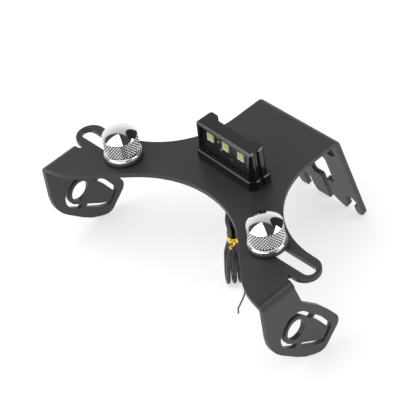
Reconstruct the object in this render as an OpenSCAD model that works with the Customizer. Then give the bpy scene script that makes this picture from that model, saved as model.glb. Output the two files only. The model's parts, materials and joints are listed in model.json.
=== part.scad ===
// Number-plate bracket for a motorcycle tail, with plate knobs, plate light and its cable.
// Everything is drawn in the frame of the plate (its top is z = 0, the slots lie along X)
// and then set down on its two side tabs and its mounting flange.

/* [Sheet] */
// Thickness of the steel sheet
sheet = 3; // [2:0.25:4]
// Inside radius of every bend
bend_r = 1.5; // [1:0.25:3]

/* [Plate] */
// Half width of the neck that runs to the flange
neck_w = 28.7; // [26:0.1:32]
// Distance from the slots to the flange bend
neck_l = 76.6; // [70:0.2:84]
// Radius of the sweep from the neck to each ear
side_r = 50; // [40:1:54]
// Crown of the front edge, measured from the slots
front_y = 7.8; // [4:0.2:10]
// Radius of the front edge in the middle
front_r = 62; // [54:1:70]
// Radius where the front edge meets each arm
arm_r = 36; // [28:1:40]
// Half distance between the side bends
arm_w = 80.5; // [78:0.5:86]
// Front corner of the arms, measured back from the slots
arm_y = 34; // [32:0.2:38]

/* [Ears and slots] */
// Half distance between the knobs at rest
knob_x = 55; // [50:0.5:58]
// Width of the plate slots
slot_w = 7.5; // [7:0.1:8]
// Travel of a knob in its slot
slot_travel = 29; // [20:0.5:30]
// Metal left beyond the end of a slot
ear_wall = 2.4; // [2:0.1:4]
// Radius of the ear ends
ear_r = 8.4; // [7:0.1:10]
// Width of the relief cut between ear and side bend
relief_w = 2.8; // [2:0.1:3.4]

/* [Side tabs] */
// Height of the tab tip below the plate's top
tab_drop = 59.8; // [58:0.2:66]
// Diameter of the turn-signal hole
signal_d = 12; // [10:0.5:13]
// Turn-signal hole, measured back from the slots
signal_y = 14.5; // [13:0.1:16]
// Turn-signal hole, measured down from the plate's top
signal_z = 31.6; // [30:0.1:33]
// Outer radius of the curved slots round the turn-signal hole
ring_out = 10.6; // [10:0.1:11.4]
// Width of these slots
ring_w = 2.4; // [1.6:0.1:2.8]
// Width of the two bridges across the ring
ring_bridge = 4; // [3:0.2:6]

/* [Mounting flange] */
// Angle by which the flange opens beyond a right angle
flange_angle = 13.3; // [8:0.1:18]
// Length of the flange below its bend
flange_l = 64.9; // [60:0.1:70]
// Centre line of the hooked slots
hook_x = 21.8; // [21:0.1:22.4]
// Diameter of the round seat of a hooked slot
hook_d = 8; // [6.5:0.1:8.4]
// Mouth of a hooked slot
hook_mouth = 4.6; // [3.6:0.1:5]
// Shift of the mouth to the left of the seat
hook_shift = 1.6; // [0:0.1:1.8]
// Height of the round seat's centre above the flange's tips
hook_up = 10.6; // [9:0.1:13]
// Centre line of the keyhole window
key_x = 4.5; // [3:0.1:6]
// Width of the keyhole window
key_w = 16; // [12:0.1:17]
// Top of the keyhole window, below the bend
key_top = 20; // [16:0.2:24]
// Bottom of the keyhole window, below the bend
key_bottom = 43.6; // [40:0.2:47]
// Width of the slit below the window
slit_w = 4; // [3:0.1:4.6]
// Centre line of the short slit
short_x = -12; // [-13:0.1:-11]
// Height of the short slit
short_l = 13.5; // [10:0.2:16]
// Width of the short slit
short_w = 5.6; // [3:0.1:6]
// Diameter of the wiring hole in the flange
wire_hole_d = 8; // [5:0.1:9]
// Wiring hole, measured sideways
wire_hole_x = 19.6; // [16:0.1:21]
// Wiring hole, below the bend
wire_hole_w = 9.6; // [8:0.1:12]

/* [Knobs] */
// Height of a knob above its rubber washer
knob_h = 15.4; // [13:0.1:18]
// Diameter of the knurled part
knob_d = 19.4; // [17:0.1:20]
// Diameter of the flared foot
foot_d = 21.4; // [20.5:0.1:24]
// Height of the flared foot
foot_h = 2.4; // [2:0.1:3]
// Height of the knurled band
knurl_h = 9.2; // [8:0.1:10]
// Number of diamonds round the knurl
knurl_n = 40; // [30:1:42]
// Number of diamonds up the knurl
knurl_rows = 5; // [3:1:6]
// Depth of the knurl
knurl_deep = 0.45; // [0.3:0.05:0.6]
// Height of the crown
crown_h = 3.2; // [2:0.1:4]
// Thickness of the rubber washers
rubber_t = 2.4; // [1.5:0.1:3]
// Diameter of the rubber washers
rubber_d = 21.6; // [20:0.1:24]

/* [Plate screws] */
// Thread diameter
screw_d = 6; // [5:0.1:6.5]
// Width across the flats of the head
head_af = 10; // [9:0.5:11]
// Height of the head
head_h = 4; // [3.5:0.1:5]
// Diameter of the flat washer
washer_d = 14; // [12.5:0.1:16]
// Thickness of the flat washer
washer_t = 1.4; // [1:0.1:2]

/* [Light] */
// Middle of the light, in front of the flange bend
light_y = 29.8; // [28:0.1:33]
// Turn of the light on its screws
light_turn = 2.4; // [0:0.1:3]
// Length of the base
base_l = 47; // [45:0.1:50]
// Depth of the base
base_d = 14.4; // [13.6:0.1:16]
// Height of the base
base_h = 5.6; // [5:0.1:8]
// Length of the cover
cover_l = 43.4; // [42:0.1:44.4]
// Depth of the cover at its ends
cover_d = 12.7; // [12.2:0.1:13.4]
// Height of the cover above the base
cover_h = 17.6; // [16:0.1:20]
// Lean of the cover's front face
cover_lean = 2; // [0:0.1:2.5]
// Side of each light chip
chip_w = 5; // [4:0.1:5.4]
// Distance between the light chips
chip_pitch = 11.9; // [9:0.1:12.4]
// Middle chip, measured sideways from the middle of the cover
chip_x = 0.4; // [-2:0.1:2]
// Middle of the chips above the foot of the cover
chip_up = 11.3; // [9:0.1:12.4]

/* [Cable] */
// Diameter of the light's cable
cable_d = 2.4; // [2:0.1:3]
// Diameter of the bare wire end
wire_d = 0.8; // [0.6:0.1:1]

/* [Hidden] */

fit = 0.1;
core = 0.5;
bend_out = bend_r + sheet;
flange_half = neck_w;
flange_y = neck_l + bend_r * cos(flange_angle);
flange_z = -bend_out + bend_r * sin(flange_angle);
slot_end = knob_x + slot_travel;
ear_x = slot_end + slot_w / 2 + ear_wall - ear_r;
tab_back = -ear_r - relief_w;
tip_r = 6;

// The tab seen from the side: the first value is the distance from the slots, the second the height.
tab_pts = [[tab_back, -bend_out], [-7.6, -17.6], [4, -27.6], [16.7, 12 - tab_drop],
    [2.4, -tab_drop - 1.1], [-11.1, 4.2 - tab_drop], [-arm_y, -33.7], [-arm_y, -bend_out]];
tab_r = [0, 1.5, 84, 6, tip_r, 36, 26, 0];

// What the part stands on: the round tips of the tabs and the inner edge of the flange.
tab_tip = corner_centre(tab_pts[3], tab_pts[4], tab_pts[5], tip_r);
flange_tip = [flange_y + flange_l * sin(flange_angle), flange_z - flange_l * cos(flange_angle)];
reach = tab_tip - flange_tip;
rest_tilt = atan2(reach[0], reach[1]) + acos(tip_r / norm(reach));
rest_z = -flange_tip[0] * sin(rest_tilt) - flange_tip[1] * cos(rest_tilt);
front_end = -arm_y * cos(rest_tilt);
outer_tip = flange_tip + sheet * [cos(flange_angle), sin(flange_angle)];
back_end = outer_tip[0] * cos(rest_tilt) - outer_tip[1] * sin(rest_tilt);
rest_y = -(front_end + back_end) / 2;

light_screw_x = 14;
light_screw_d = 3;
light_hole_d = 4.4;
light_head_d = 5.5;
light_head_h = 2.4;
light_washer_d = 8.4;
light_washer_t = 0.6;
light_thread_in = 4.2;
cable_hole_d = 7;
gasket_t = 0.8;
cover_z = gasket_t + base_h;
cover_top = cover_z + cover_h;
lean = atan(cover_lean / cover_h);
wall = 1.6;
cavity_l = cover_l - 5;
cavity_d = 4.8;
window_l = cover_l - 6.4;
window_z = 1.2;
window_h = cover_h - 3.2;
window_in = 0.1;
window_t = 1;
chip_y = 1.3;
chip_t = 1;
base_clip = 3;
base_scoop = 1.4;
cover_clip = 2.4;
cover_scoop = 2.6;
cut_reach = 3;
board_t = 1.2;

// Sets a piece drawn in the plate's frame down on the floor.
module placed() {
    translate([0, rest_y, rest_z]) rotate([rest_tilt, 0, 0]) children();
}

// Turns a piece into the frame of the light, at the middle of its footprint.
module at_light() {
    translate([0, light_y, 0]) rotate([0, 0, -light_turn]) children();
}

module both_sides() {
    children();
    mirror([1, 0, 0]) children();
}

function unit(v) = v / norm(v);

// Points of an arc from angle a to angle b.
function arc(c, r, a, b, n) =
    [for (i = [0:n]) c + r * [cos(a + (b - a) * i / n), sin(a + (b - a) * i / n)]];

// Middle of the circle that rounds the corner at q, between p and s.
function corner_centre(p, q, s, r) =
    let (u = unit(p - q), v = unit(s - q))
    q + unit(u + v) * r / sin(acos(u * v) / 2);

// The points of that rounded corner.
function corner(p, q, s, r) =
    let (u = unit(p - q), v = unit(s - q), along = r / tan(acos(u * v) / 2))
    let (c = corner_centre(p, q, s, r), a = q + u * along - c, b = q + v * along - c)
    let (start = atan2(a[1], a[0]), turn = atan2(a[0] * b[1] - a[1] * b[0], a * b))
    arc(c, r, start, start + turn, max(2, ceil(abs(turn) / 15)));

// A closed outline with each corner rounded by its own radius.
function rounded(pts, r) = [for (i = [0:len(pts) - 1])
    let (p = pts[(i + len(pts) - 1) % len(pts)], q = pts[i], s = pts[(i + 1) % len(pts)])
    each (r[i] > 0 ? corner(p, q, s, r[i]) : [q])];

// A convex clockwise outline drawn in by a distance.
function inset(pts, d) = [for (i = [0:len(pts) - 1])
    let (p = pts[(i + len(pts) - 1) % len(pts)], q = pts[i], s = pts[(i + 1) % len(pts)])
    let (u = unit(p - q), v = unit(s - q))
    q + unit(u + v) * d / sin(acos(u * v) / 2)];

// The straight stretch of the front edge, between the middle curve and the arm's curve.
front_slope = 41.3;
front_a = [front_r * sin(front_slope), front_y - front_r * (1 - cos(front_slope))];
front_b_y = -arm_y + arm_r * (1 - cos(front_slope));
front_b_x = front_a[0] + (front_a[1] - front_b_y) / tan(front_slope);
arm_c = [front_b_x + arm_r * sin(front_slope), -arm_y + arm_r];

// The right half of the plate's outline, up to the bends.
function plate_half() = concat(
    [[0, neck_l], [0, front_y]],
    arc([0, front_y - front_r], front_r, 90, 90 - front_slope, 8),
    [for (p = arc(arm_c, arm_r, 270 - front_slope, 270, 8)) if (p[0] < arm_w - 1) p],
    [[arm_w, -arm_y], [arm_w, -ear_r], [ear_x, -ear_r]],
    arc([ear_x, 0], ear_r, -90, 90, 16),
    arc([neck_w + side_r, ear_r + side_r], side_r, 270, 180, 18),
    [[neck_w, neck_l]]);

module slot_cut() {
    translate([knob_x, 0]) circle(d = slot_w, $fn = 48);
    translate([slot_end, 0]) circle(d = slot_w, $fn = 48);
    translate([knob_x, -slot_w / 2]) square([slot_travel, slot_w]);
}

module relief_cut() {
    translate([arm_w - 0.8, -ear_r - relief_w / 2]) circle(d = relief_w, $fn = 32);
    translate([arm_w - 0.8, -ear_r - relief_w]) square([bend_out + 6, relief_w]);
}

module plate() {
    translate([0, 0, -sheet]) linear_extrude(sheet) difference() {
        union() {
            polygon(plate_half());
            mirror([1, 0]) polygon(plate_half());
        }
        for (m = [0, 1]) mirror([m, 0]) {
            slot_cut();
            relief_cut();
        }
        translate([0, light_y]) {
            circle(d = cable_hole_d, $fn = 32);
            for (s = [-1, 1]) translate([s * light_screw_x, 0]) circle(d = light_hole_d, $fn = 32);
        }
    }
}

// A bend along Y that starts level, turns down by an angle and is l long. At both ends a core
// inside the sheet joins it to the flats.
module bend(l, angle) {
    rotate([90, 0, 0]) translate([0, -bend_out, -l]) {
        linear_extrude(l) difference() {
            circle(r = bend_out, $fn = 96);
            circle(r = bend_r, $fn = 96);
            translate([-2 * bend_out, -2 * bend_out]) square([2 * bend_out, 4 * bend_out]);
            rotate(90 - angle) translate([-bend_out, -2 * bend_out]) square([4 * bend_out, 2 * bend_out]);
        }
        for (a = [0, angle]) rotate(-a) translate([-core, bend_r + sheet / 4, 1])
            cube([2 * core, sheet / 2, l - 2]);
    }
}

// The two curved slots round the turn-signal hole: half a circle that runs out to a blunt point.
function ring_corner(a, half) =
    [-signal_y, -signal_z] + ring_out / cos(half) * [cos(a), sin(a)];
ring_pts = [ring_corner(90, 49), [3.5, -36.3], [10, -47.4], [3, -54.7], [-2.2, -52.8],
    ring_corner(187.5, 48.5)];
ring_r = [ring_out - 0.6, 30, 3, 2.6, 20, ring_out - 0.6];

module ring_slots() {
    difference() {
        polygon(rounded(ring_pts, ring_r));
        polygon(rounded(inset(ring_pts, ring_w), [for (r = ring_r) max(r - ring_w, 0.4)]));
        translate([-2.1, -31.7]) rotate(41) square([14, ring_bridge / 2], center = true);
        translate([-14.4, -43.3]) rotate(56) square([14, ring_bridge], center = true);
    }
}

module side_tab() {
    rotate([90, 0, 90]) translate([0, 0, arm_w + bend_r]) linear_extrude(sheet) difference() {
        polygon(rounded(tab_pts, tab_r));
        translate([-signal_y, -signal_z]) circle(d = signal_d, $fn = 64);
        ring_slots();
    }
}

// A slit that opens at the flange's tips, with the metal rounded away on its right.
module slit_cut(x, l, w, flare) {
    translate([x, l - flange_l - w / 2]) circle(d = w, $fn = 24);
    translate([x - w / 2, -flange_l - 1]) square([w, l - w / 2 + 1]);
    translate([x + w / 2, -flange_l]) polygon([[-1, 6], [0, 6], [0.45 * flare, 2.4], [flare, 0.3],
        [flare + 1.5, -1], [-1, -1]]);
}

// A round seat that opens downwards through a narrower mouth, set to its left and flared.
module hook_cut(flare) {
    near = -hook_shift - hook_mouth / 2;
    far = near + hook_mouth;
    translate([0, hook_up - flange_l]) {
        circle(d = hook_d, $fn = 48);
        translate([near, -hook_up - 1]) square([hook_mouth, hook_up + 1]);
        polygon([[near + 1, -hook_up + 4], [near, -hook_up + 4], [near - flare, -hook_up - 1],
            [far + 1.6, -hook_up - 1], [far, -hook_up + 2.6], [far - 1, -hook_up + 2.6]]);
    }
}

module key_cut() {
    half = key_w / 2;
    polygon(rounded([[key_x - half, -key_top], [key_x + half, -key_top], [key_x + half, -key_bottom],
        [key_x - half, -key_bottom]], [3, 3, 1.4, 1.4]));
}

// The flange seen square on, with its bend at the top.
module flange_outline() {
    difference() {
        polygon(rounded([[flange_half, 0], [flange_half, -flange_l], [-flange_half, -flange_l],
            [-flange_half, 0]], [0, 4, 4, 0]));
        translate([-hook_x, 0]) hook_cut(0.8);
        translate([hook_x, 0]) hook_cut(3.4);
        key_cut();
        slit_cut(key_x, flange_l - key_bottom + 2, slit_w, 7);
        slit_cut(short_x, short_l, short_w, 1.8);
        translate([wire_hole_x, -wire_hole_w]) circle(d = wire_hole_d, $fn = 48);
    }
}

module flange() {
    translate([0, flange_y, flange_z]) rotate([90 + flange_angle, 0, 0])
        translate([0, 0, -sheet]) linear_extrude(sheet) flange_outline();
}

module bracket() {
    color([0.16, 0.16, 0.165]) placed() {
        plate();
        both_sides() {
            translate([arm_w, -arm_y, 0]) bend(arm_y + tab_back, 90);
            side_tab();
        }
        translate([flange_half, neck_l, 0]) rotate([0, 0, 90]) bend(2 * flange_half, 90 - flange_angle);
        flange();
    }
}

// Heights along a knob, above its rubber washer.
band_z = foot_h;
band_top = band_z + knurl_h;
knob_in = knob_d / 2 - knurl_deep;
thread_deep = knob_h - 5;

// The turned knob, without its knurl: foot with a hollow flare, plain band and crown.
module knob_body() {
    rotate_extrude($fn = 96) polygon(concat(
        [[0, 0], [foot_d / 2 - 0.3, 0], [foot_d / 2, 0.3], [foot_d / 2, 0.9]],
        arc([foot_d / 2 - 0.2, foot_h + 0.2], 1.3, 262, 186, 5),
        [[knob_in, band_z], [knob_in, band_top], [knob_d / 2, band_top + 0.1],
            [knob_d / 2, knob_h - crown_h]],
        [for (a = [12:13:90]) [knob_d / 2 * pow(cos(a), 0.62), knob_h - crown_h + crown_h * sin(a)]],
        [[0, knob_h]]));
}

// The knurl: diamonds standing on a sleeve, two columns and two rows of points to each.
knurl_cols = 2 * knurl_n;
knurl_steps = 2 * knurl_rows;

function knurl_point(i, j) =
    let (edge = j == 0 || j == knurl_steps, a = 180 / knurl_n * i)
    let (r = !edge && (i + j) % 2 == 0 ? knob_d / 2 : knob_in + 0.02)
    [r * cos(a), r * sin(a), band_z + knurl_h * j / knurl_steps];

// Each cell is split along its groove, which joins the two points that lie low.
function knurl_cell(i, j) =
    let (n = knurl_cols, a = j * n + i, b = j * n + (i + 1) % n, c = a + n, d = b + n)
    (i + j) % 2 == 0 ? [[a, b, c], [b, d, c]] : [[a, b, d], [a, d, c]];

module knurl() {
    n = knurl_cols;
    outer = [for (j = [0:knurl_steps], i = [0:n - 1]) knurl_point(i, j)];
    low = [0, 0, band_z];
    high = [0, 0, band_top];
    m = len(outer);
    polyhedron(concat(outer, [low, high]), concat(
        [for (j = [0:knurl_steps - 1], i = [0:n - 1]) each [for (t = knurl_cell(i, j)) [t[0], t[2], t[1]]]],
        [for (i = [0:n - 1]) [i, (i + 1) % n, m]],
        [for (i = [0:n - 1]) [knurl_steps * n + i, m + 1, knurl_steps * n + (i + 1) % n]]));
}

module knob(side) {
    color([0.82, 0.83, 0.85]) placed() translate([side * knob_x, 0, rubber_t]) difference() {
        union() {
            knob_body();
            knurl();
        }
        translate([0, 0, -1]) cylinder(d = screw_d + 2 * fit, h = thread_deep + 1, $fn = 48);
    }
}

module ring(outer, inner, h) {
    difference() {
        cylinder(d = outer, h = h, $fn = 64);
        translate([0, 0, -1]) cylinder(d = inner, h = h + 2, $fn = 48);
    }
}

module rubber_washer(side) {
    color([0.06, 0.06, 0.06]) placed() translate([side * knob_x, 0, 0])
        ring(rubber_d, screw_d + 2 * fit, rubber_t);
}

module flat_washer(side) {
    color([0.7, 0.7, 0.72]) placed() translate([side * knob_x, 0, -sheet - washer_t])
        ring(washer_d, screw_d + 2 * fit, washer_t);
}

// Hexagon screw that comes up through the slot into the knob.
module plate_screw(side) {
    under = -sheet - washer_t;
    color([0.7, 0.7, 0.72]) placed() translate([side * knob_x, 0, 0]) {
        translate([0, 0, under - head_h]) intersection() {
            cylinder(d = head_af / cos(30), h = head_h, $fn = 6);
            cylinder(d1 = head_af * 1.02, d2 = head_af * 1.02 + 4 * head_h, h = 2 * head_h, $fn = 64);
        }
        translate([0, 0, under]) cylinder(d = screw_d, h = thread_deep - 1 - under + rubber_t, $fn = 48);
    }
}

// Half of a light plan, from the middle of the front to the middle of the back: a clipped front
// corner, a shallow groove in the end and a clipped back corner. The back is scooped by a depth.
function light_half(l, d, front_clip, scoop) = let (x = l / 2, y = d / 2)
    [[x - front_clip, -y], [x, -y + front_clip * 1.3], [x, -1.8], [x - 1.1, -0.8], [x - 1.1, 0.6],
        [x, 1.6], [x, y - 2.2], [x - 1.9, y], [x - 6.4, y], [x - 8.6, y - scoop]];

module light_plan(l, d, front_clip, scoop) {
    half = light_half(l, d, front_clip, scoop);
    polygon(concat(half, [for (i = [len(half) - 1:-1:0]) [-half[i][0], half[i][1]]]));
}

// Takes an edge off: the corner that runs along Y through the origin, on the side away from it.
module edge_cut(size) {
    rotate([0, 45, 0]) translate([-size, -50, 0]) cube([2 * size, 100, 2 * size]);
}

module screw_holes(d, h) {
    for (s = [-1, 1]) translate([s * light_screw_x, 0, -0.5]) cylinder(d = d, h = h, $fn = 32);
}

module light_base() {
    edge = 0.6;
    color([0.05, 0.05, 0.055]) placed() at_light() translate([0, 0, gasket_t]) difference() {
        linear_extrude(base_h) light_plan(base_l, base_d, base_clip, base_scoop);
        for (s = [-1, 1]) scale([s, 1, 1]) translate([base_l / 2 - edge, 0, base_h]) edge_cut(cut_reach);
        translate([0, -base_d / 2 + edge, base_h]) rotate([0, 0, -90]) edge_cut(cut_reach);
        screw_holes(light_screw_d + fit, base_h);
        translate([0, 0, -1]) cylinder(d = cable_hole_d - 2, h = base_h + 2, $fn = 32);
    }
}

module light_gasket() {
    color([0.08, 0.08, 0.08]) placed() at_light() difference() {
        linear_extrude(gasket_t) light_plan(base_l - 1, base_d - 1, base_clip, base_scoop);
        screw_holes(light_screw_d + 2 * fit, 3);
        translate([0, 0, -1]) cylinder(d = cable_hole_d + 2 * fit, h = 3, $fn = 32);
    }
}

// The frame of the cover's front face: Y goes in from the face and Z climbs along it.
module on_front() {
    placed() at_light() front_frame() children();
}

module front_frame() {
    translate([0, -cover_d / 2, cover_z]) rotate([-lean, 0, 0]) children();
}

module light_cover() {
    edge = 1.2;
    color([0.04, 0.04, 0.045]) placed() at_light() difference() {
        translate([0, 0, cover_z]) linear_extrude(cover_h) light_plan(cover_l, cover_d, cover_clip, cover_scoop);
        front_frame() {
            translate([-cover_l, -20, -5]) cube([2 * cover_l, 20, 2 * cover_h]);
            translate([-cavity_l / 2, wall, -1]) cube([cavity_l, cavity_d, window_z + window_h + 1]);
            translate([-window_l / 2, -1, window_z]) cube([window_l, wall + 2, window_h]);
        }
        for (s = [-1, 1]) scale([s, 1, 1]) translate([cover_l / 2 - edge, 0, cover_top]) edge_cut(cut_reach);
        translate([0, -cover_d / 2 + cover_lean + edge, cover_top]) rotate([0, 0, -90]) edge_cut(cut_reach);
    }
}

module light_window() {
    color([0.9, 0.92, 0.92, 0.25]) on_front() translate([-window_l / 2, window_in, window_z])
        cube([window_l, window_t, window_h]);
}

module light_board() {
    foot = (chip_y + chip_t + board_t) * tan(lean);
    color([0.03, 0.035, 0.03]) on_front() translate([-cavity_l / 2, chip_y + chip_t, foot])
        cube([cavity_l, board_t, window_z + window_h - foot]);
}

module light_chip(place) {
    color([0.93, 0.93, 0.86]) on_front()
        translate([chip_x + place * chip_pitch - chip_w / 2, chip_y, chip_up - chip_w / 2])
        cube([chip_w, chip_t, chip_w]);
}

// Resistors, a capacitor and a diode of the driver: place beside the middle chip, and size.
board_part = [[-6.5, 2.1, 1.6, 0.8], [-5.9, -0.4, 1.6, 0.8], [-3.5, 2.2, 0.8, 1.6],
    [-3.7, -4.6, 1.2, 1.2], [4.5, -6.6, 1.6, 0.9]];

module board_parts() {
    color([0.45, 0.36, 0.28]) on_front()
        for (p = board_part) translate([chip_x + p[0] - p[2] / 2, chip_y + chip_t - 0.6, chip_up + p[1]])
            cube([p[2], 0.6, p[3]]);
}

module light_screws() {
    under = -sheet - light_washer_t;
    color([0.7, 0.7, 0.72]) placed() at_light() for (s = [-1, 1]) translate([s * light_screw_x, 0, under]) {
        translate([0, 0, -light_head_h]) cylinder(d = light_head_d, h = light_head_h, $fn = 32);
        cylinder(d = light_screw_d, h = gasket_t + light_thread_in - under, $fn = 32);
    }
}

module light_screw_washers() {
    color([0.7, 0.7, 0.72]) placed() at_light() for (s = [-1, 1])
        translate([s * light_screw_x, 0, -sheet - light_washer_t])
            ring(light_washer_d, light_screw_d + 2 * fit, light_washer_t);
}

// Rubber grommet with a tapered sleeve below, in the plate's cable hole.
sleeve_l = 6;
sleeve_z = -sheet - 1.2 - sleeve_l;

module cable_grommet() {
    color([0.07, 0.07, 0.07]) placed() translate([0, light_y, 0]) rotate_extrude($fn = 48)
        polygon([[0, gasket_t], [cable_hole_d / 2 - fit, gasket_t], [cable_hole_d / 2 - fit, -sheet],
            [5.4, -sheet], [5.4, -sheet - 1.2], [3.2, -sheet - 1.2], [cable_d / 2 + 0.7, sleeve_z],
            [0, sleeve_z]]);
}

// A point of the plate's frame, once the part is set down.
function set_down(y, z) = [0, rest_y + y * cos(rest_tilt) - z * sin(rest_tilt),
    rest_z + y * sin(rest_tilt) + z * cos(rest_tilt)];

// The cable's way over the floor: from the grommet to the hank, and from the hank to its bare wire.
lead_route = concat([set_down(light_y, sleeve_z), set_down(light_y, sleeve_z - 5)],
    [[0.6, -4, 43], [2, -7, 40.4], [4, -11, 39], [6, -14.3, 38.4], [8.4, -16.4, 38.2], [10.9, -18.3, 38.2]]);
tail_route = [[15.2, -14.1, 1.3], [17.4, -11.6, 1.3], [20, -10.4, 1.3], [22.6, -11.4, 1.3],
    [24.2, -14.4, 1.3], [24.8, -18, 1.3], [24.4, -21.4, 1.3], [24.2, -24.4, 1.3]];
wire_route = [[24.2, -24.65, 1.3], [25, -26, 0.7], [26.4, -28.8, 0.5], [28.4, -32.6, 0.5],
    [29.8, -35.2, 0.5], [32.4, -37.6, 0.5]];

// Points of one ring round a route, square to it.
function tube_ring(p, i, r, side) =
    let (t = unit(p[min(i + 1, len(p) - 1)] - p[max(i - 1, 0)]), n = unit(cross(t, side)), b = cross(t, n))
    [for (a = [0:45:315]) p[i] + r * (n * cos(a) + b * sin(a))];

// A tube along a route. The side is a direction that the route never takes.
module tube(p, d, side) {
    n = 8;
    last = len(p) - 1;
    polyhedron([for (i = [0:last]) each tube_ring(p, i, d / 2, side)], concat(
        [[for (i = [n - 1:-1:0]) i]],
        [for (j = [0:last - 1], i = [0:n - 1]) each
            [[j * n + i, j * n + (i + 1) % n, (j + 1) * n + i],
                [j * n + (i + 1) % n, (j + 1) * n + (i + 1) % n, (j + 1) * n + i]]],
        [[for (i = [0:n - 1]) last * n + i]]));
}

module cable_lead() {
    color([0.05, 0.05, 0.05]) tube(lead_route, cable_d, [0.8, 0.6, 0]);
}

module cable_tail() {
    color([0.05, 0.05, 0.05]) tube(tail_route, cable_d, [0, 0, 1]);
}

module wire_end() {
    color([0.1, 0.1, 0.1]) tube(wire_route, wire_d, [0.8, 0.6, 0.2]);
}

// The hank stands between the floor and the plate, drawn in at its tie. Width is from its left
// side to its right one and depth from front to back.
hank_h = 55.6;
hank_left = 4.7;
hank_right = 7.3;
hank_depth = 12;
tie_z = 31;
tie_h = 4;
tie_left = 2.6;
tie_right = 5;
tie_depth = 7.6;
tie_gap = 0.2;
tie_t = 0.5;

module at_hank() {
    translate([12.3, -21.2, 0.55]) rotate([0, 3.7, 0]) rotate([0, 0, 53]) children();
}

module cable_hank() {
    half = hank_depth / 2;
    tied = tie_depth / 2;
    color([0.05, 0.05, 0.05]) at_hank() intersection() {
        rotate([90, 0, 0]) translate([0, 0, -half]) linear_extrude(hank_depth) polygon(
            [[-hank_left, 0], [-tie_left, tie_z], [-hank_left, hank_h], [hank_right, hank_h],
                [tie_right, tie_z], [hank_right, 0]]);
        rotate([90, 0, 90]) translate([0, 0, -hank_left]) linear_extrude(hank_left + hank_right)
            polygon(rounded([[-half, 0], [-tied, tie_z], [-half, hank_h], [half, hank_h], [tied, tie_z],
                [half, 0]], [half - 0.6, 0, half - 0.6, half - 0.6, 0, half - 0.6]));
    }
}

// Foil twist tie: a band round the hank with its two twisted ends in front.
module twist_tie() {
    slope = 0.2;
    inner = [tie_left + tie_right + 2 * (tie_gap + slope), tie_depth + 2 * (tie_gap + slope)];
    front = -inner[1] / 2;
    color([0.85, 0.65, 0.12]) at_hank() translate([(tie_right - tie_left) / 2, 0, tie_z - tie_h / 2]) {
        linear_extrude(tie_h) difference() {
            square(inner + [2 * tie_t, 2 * tie_t], center = true);
            square(inner, center = true);
        }
        for (s = [-1, 1]) translate([-1.2, front - tie_t, tie_h / 2]) rotate([90, 0, 0])
            linear_extrude(tie_t) polygon([[0, -0.8], [s * 3.2, -1.4 - s], [s * 3.6, 0.6 - s], [0, 0.8]]);
    }
}

bracket();
knob(-1);  // left_knob
knob(1);  // right_knob
rubber_washer(-1);  // left_rubber_washer
rubber_washer(1);  // right_rubber_washer
plate_screw(-1);  // left_plate_screw
plate_screw(1);  // right_plate_screw
flat_washer(-1);  // left_flat_washer
flat_washer(1);  // right_flat_washer
light_base();
light_cover();
light_window();
light_board();
light_chip(-1);  // left_light_chip
light_chip(0);  // middle_light_chip
light_chip(1);  // right_light_chip
board_parts();
light_gasket();
light_screws();
light_screw_washers();
cable_grommet();
cable_lead();
cable_hank();
twist_tie();
cable_tail();
wire_end();
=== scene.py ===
# %% [markdown]
# # Number-plate bracket with knurled knobs, a plate light and its cable
#
# The real object is a folded sheet of steel with a black powder coat. Two chrome knobs slide in
# its slots, a small black light stands on it, and the light's cable hangs below in a tied hank.
# The measured parts come in as a fixed frame, and this file adds what the eye expects: rounded
# edges, a knurl with flat tops, the turns of the cable, and a finish for each surface.

# %% Load the measured parts
import json
import math

import bmesh
import bpy
from mathutils import Matrix, Vector, noise

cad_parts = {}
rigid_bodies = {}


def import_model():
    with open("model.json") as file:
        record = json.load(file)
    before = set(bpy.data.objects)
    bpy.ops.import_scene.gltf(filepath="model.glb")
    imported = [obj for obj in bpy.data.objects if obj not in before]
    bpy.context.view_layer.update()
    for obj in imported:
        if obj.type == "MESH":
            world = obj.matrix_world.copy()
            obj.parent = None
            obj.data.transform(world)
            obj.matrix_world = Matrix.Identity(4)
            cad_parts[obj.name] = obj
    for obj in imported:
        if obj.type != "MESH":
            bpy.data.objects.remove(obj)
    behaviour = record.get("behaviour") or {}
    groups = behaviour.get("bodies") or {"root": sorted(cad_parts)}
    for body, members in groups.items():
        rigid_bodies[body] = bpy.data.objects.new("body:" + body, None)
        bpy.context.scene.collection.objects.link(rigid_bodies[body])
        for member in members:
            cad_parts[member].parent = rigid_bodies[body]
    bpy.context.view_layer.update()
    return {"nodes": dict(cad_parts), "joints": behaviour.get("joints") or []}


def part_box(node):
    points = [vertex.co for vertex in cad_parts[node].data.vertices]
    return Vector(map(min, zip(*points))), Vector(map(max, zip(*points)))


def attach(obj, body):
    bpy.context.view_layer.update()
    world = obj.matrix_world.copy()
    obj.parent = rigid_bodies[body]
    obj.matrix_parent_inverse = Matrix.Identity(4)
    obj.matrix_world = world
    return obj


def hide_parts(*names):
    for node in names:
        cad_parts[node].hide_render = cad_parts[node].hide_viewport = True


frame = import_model()
nodes = frame["nodes"]
MM = 0.001
print("parts:", len(nodes))

# %% [markdown]
# The part stands on its two side tabs and its flange, so its plate leans a little. The axis of a
# knob's joint is square to the plate, and the two knobs have the plate's middle between them.
# Everything on the plate is placed through this one frame, with no number measured twice.

# %% The plate's own frame
knob_joints = {j["name"]: j for j in frame["joints"] if j["type"] == "hinge"}
knob_axis = Vector(knob_joints["left_knob_turn"]["axis"])
knob_seats = {side: Vector(knob_joints[side + "_knob_turn"]["pos_m"]) for side in ("left", "right")}
tilt = math.atan2(-knob_axis.y, knob_axis.z)
RUBBER = 2.4 * MM
plate_middle = (knob_seats["left"] + knob_seats["right"]) / 2 - knob_axis * RUBBER
plate_frame = Matrix.Translation(plate_middle) @ Matrix.Rotation(tilt, 4, "X")
print("the plate leans by", round(math.degrees(tilt), 2), "degrees")

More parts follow.
